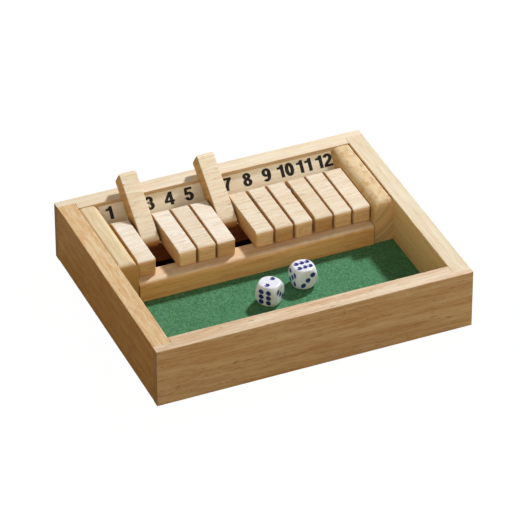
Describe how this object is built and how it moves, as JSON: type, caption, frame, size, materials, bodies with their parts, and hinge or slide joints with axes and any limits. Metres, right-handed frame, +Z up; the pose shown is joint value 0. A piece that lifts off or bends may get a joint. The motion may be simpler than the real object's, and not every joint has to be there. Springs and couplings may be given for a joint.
{
  "type": "shut the box game",
  "caption": "Wooden tray game with a row of numbered flip tiles on a steel rod, a felt rolling area and small dice.",
  "frame": {"origin": "on the table, under the middle of the box's outline", "axes": "+X along the row of numbers towards the highest, +Y from the player's side to the numbers, +Z up"},
  "size_m": [0.21, 0.172, 0.0563],
  "materials": {
    "rail_wood": "clear satin lacquer",
    "panel_wood": "bare plywood",
    "green_felt": "short pressed felt",
    "block_wood": "clear satin lacquer",
    "bar_wood": "clear satin lacquer",
    "floor_wood": "dark stained",
    "board_wood": "clear satin lacquer with printed numbers",
    "tile_wood": "clear satin lacquer",
    "rod_steel": "bright drawn",
    "washer_steel": "bright",
    "dice_plastic": "glossy white with blue pips"
  },
  "bodies": {
    "box": {"front_rail": "rail_wood", "back_rail": "rail_wood", "left_rail": "rail_wood", "right_rail": "rail_wood", "bottom_panel": "panel_wood", "felt_mat": "green_felt", "left_end_block": "block_wood", "right_end_block": "block_wood", "rest_bar": "bar_wood", "floor_board": "floor_wood", "number_board": "board_wood", "pivot_rod": "rod_steel", "washers": "washer_steel"},
    "tile_1": {"tile_1": "tile_wood"},
    "tile_2": {"tile_2": "tile_wood"},
    "tile_3": {"tile_3": "tile_wood"},
    "tile_4": {"tile_4": "tile_wood"},
    "tile_5": {"tile_5": "tile_wood"},
    "tile_6": {"tile_6": "tile_wood"},
    "tile_7": {"tile_7": "tile_wood"},
    "tile_8": {"tile_8": "tile_wood"},
    "tile_9": {"tile_9": "tile_wood"},
    "tile_10": {"tile_10": "tile_wood"},
    "tile_11": {"tile_11": "tile_wood"},
    "tile_12": {"tile_12": "tile_wood"},
    "die_1": {"die_1": "dice_plastic"},
    "die_2": {"die_2": "dice_plastic"}
  },
  "joints": [
    {"name": "tile_1_hinge", "type": "hinge", "parent": "box", "child": "tile_1", "pos_m": [0, 0.04901, 0.02982], "axis": [-1, 0, 0], "range_deg": [0, 144.5]},
    {"name": "tile_2_hinge", "type": "hinge", "parent": "box", "child": "tile_2", "pos_m": [0, 0.04901, 0.02982], "axis": [-1, 0, 0], "range_deg": [-144.5, 0]},
    {"name": "tile_3_hinge", "type": "hinge", "parent": "box", "child": "tile_3", "pos_m": [0, 0.04901, 0.02982], "axis": [-1, 0, 0], "range_deg": [0, 144.5]},
    {"name": "tile_4_hinge", "type": "hinge", "parent": "box", "child": "tile_4", "pos_m": [0, 0.04901, 0.02982], "axis": [-1, 0, 0], "range_deg": [0, 144.5]},
    {"name": "tile_5_hinge", "type": "hinge", "parent": "box", "child": "tile_5", "pos_m": [0, 0.04901, 0.02982], "axis": [-1, 0, 0], "range_deg": [0, 144.5]},
    {"name": "tile_6_hinge", "type": "hinge", "parent": "box", "child": "tile_6", "pos_m": [0, 0.04901, 0.02982], "axis": [-1, 0, 0], "range_deg": [-144.5, 0]},
    {"name": "tile_7_hinge", "type": "hinge", "parent": "box", "child": "tile_7", "pos_m": [0, 0.04901, 0.02982], "axis": [-1, 0, 0], "range_deg": [0, 144.5]},
    {"name": "tile_8_hinge", "type": "hinge", "parent": "box", "child": "tile_8", "pos_m": [0, 0.04901, 0.02982], "axis": [-1, 0, 0], "range_deg": [0, 144.5]},
    {"name": "tile_9_hinge", "type": "hinge", "parent": "box", "child": "tile_9", "pos_m": [0, 0.04901, 0.02982], "axis": [-1, 0, 0], "range_deg": [0, 144.5]},
    {"name": "tile_10_hinge", "type": "hinge", "parent": "box", "child": "tile_10", "pos_m": [0, 0.04901, 0.02982], "axis": [-1, 0, 0], "range_deg": [0, 144.5]},
    {"name": "tile_11_hinge", "type": "hinge", "parent": "box", "child": "tile_11", "pos_m": [0, 0.04901, 0.02982], "axis": [-1, 0, 0], "range_deg": [0, 144.5]},
    {"name": "tile_12_hinge", "type": "hinge", "parent": "box", "child": "tile_12", "pos_m": [0, 0.04901, 0.02982], "axis": [-1, 0, 0], "range_deg": [0, 144.5]},
    {"name": "die_1_lift", "type": "slide", "parent": "box", "child": "die_1", "axis": [0, 0, 1], "range_m": [0, 0.06]},
    {"name": "die_2_lift", "type": "slide", "parent": "box", "child": "die_2", "axis": [0, 0, 1], "range_m": [0, 0.06]}
  ]
}
